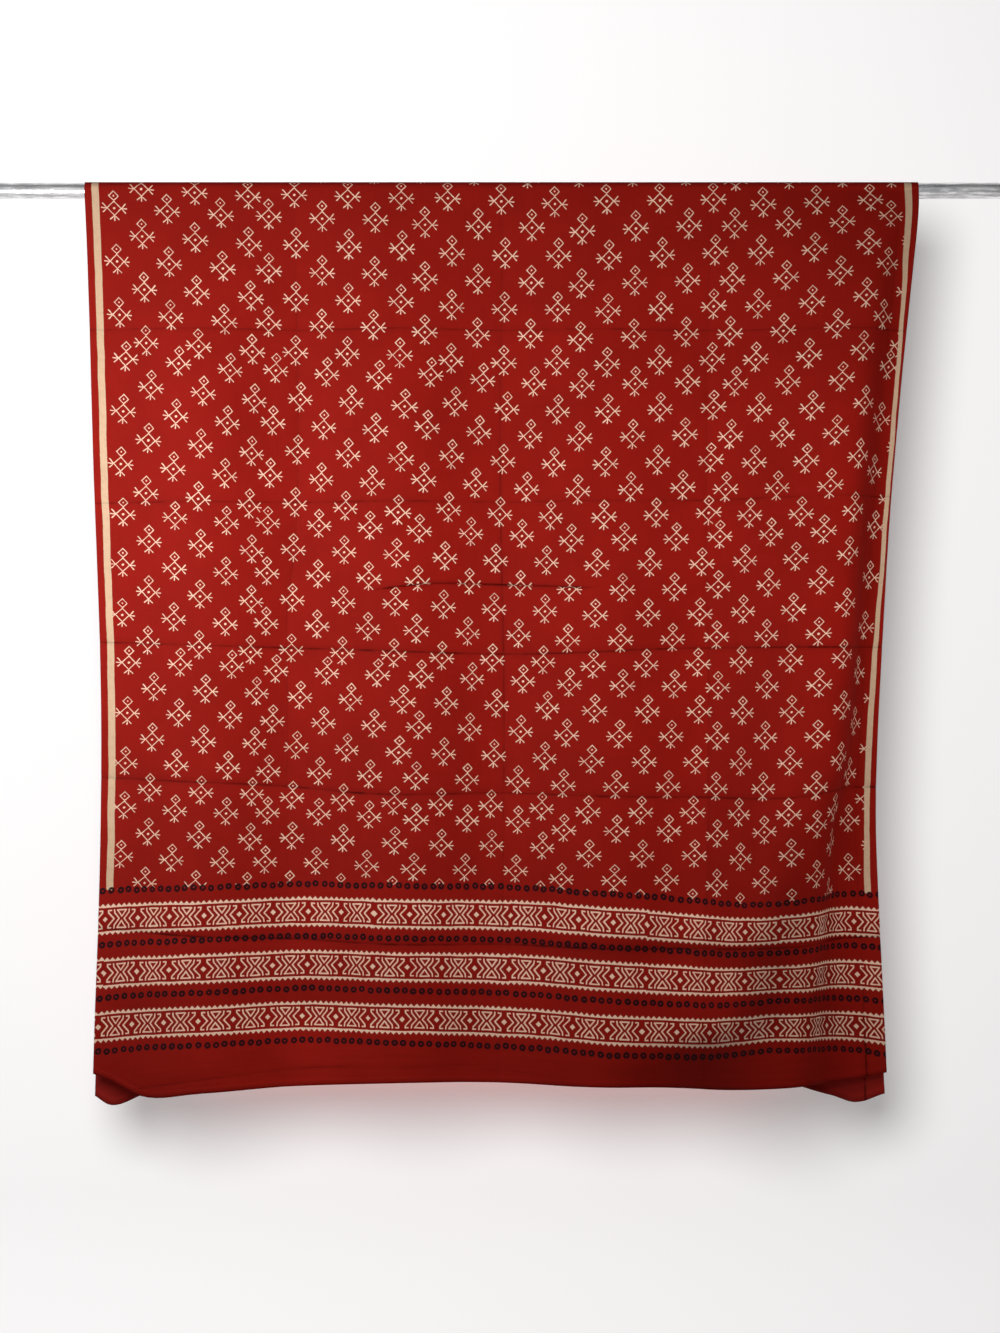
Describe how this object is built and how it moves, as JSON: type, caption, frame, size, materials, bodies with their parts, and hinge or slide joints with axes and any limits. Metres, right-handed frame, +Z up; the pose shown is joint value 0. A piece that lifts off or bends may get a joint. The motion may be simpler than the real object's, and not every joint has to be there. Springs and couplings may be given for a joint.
{
  "type": "printed dupatta on a rod",
  "caption": "Long block-printed cotton dupatta hung evenly over a straight round steel rod, with a printed field, side stripes and banded end borders.",
  "frame": {"origin": "middle of the rod's axis", "axes": "+X along the rod, to the right as the front fall is faced; -Y out of the front fall; +Z up"},
  "size_m": [1.3, 0.1599, 1.1636],
  "materials": {
    "printed_cotton": "matte plain-weave cotton, madder red with a resist print in cream and black",
    "steel": "drawn steel tube, lightly worn"
  },
  "bodies": {
    "root": {"dupatta": "printed_cotton", "rod": "steel"}
  },
  "joints": []
}
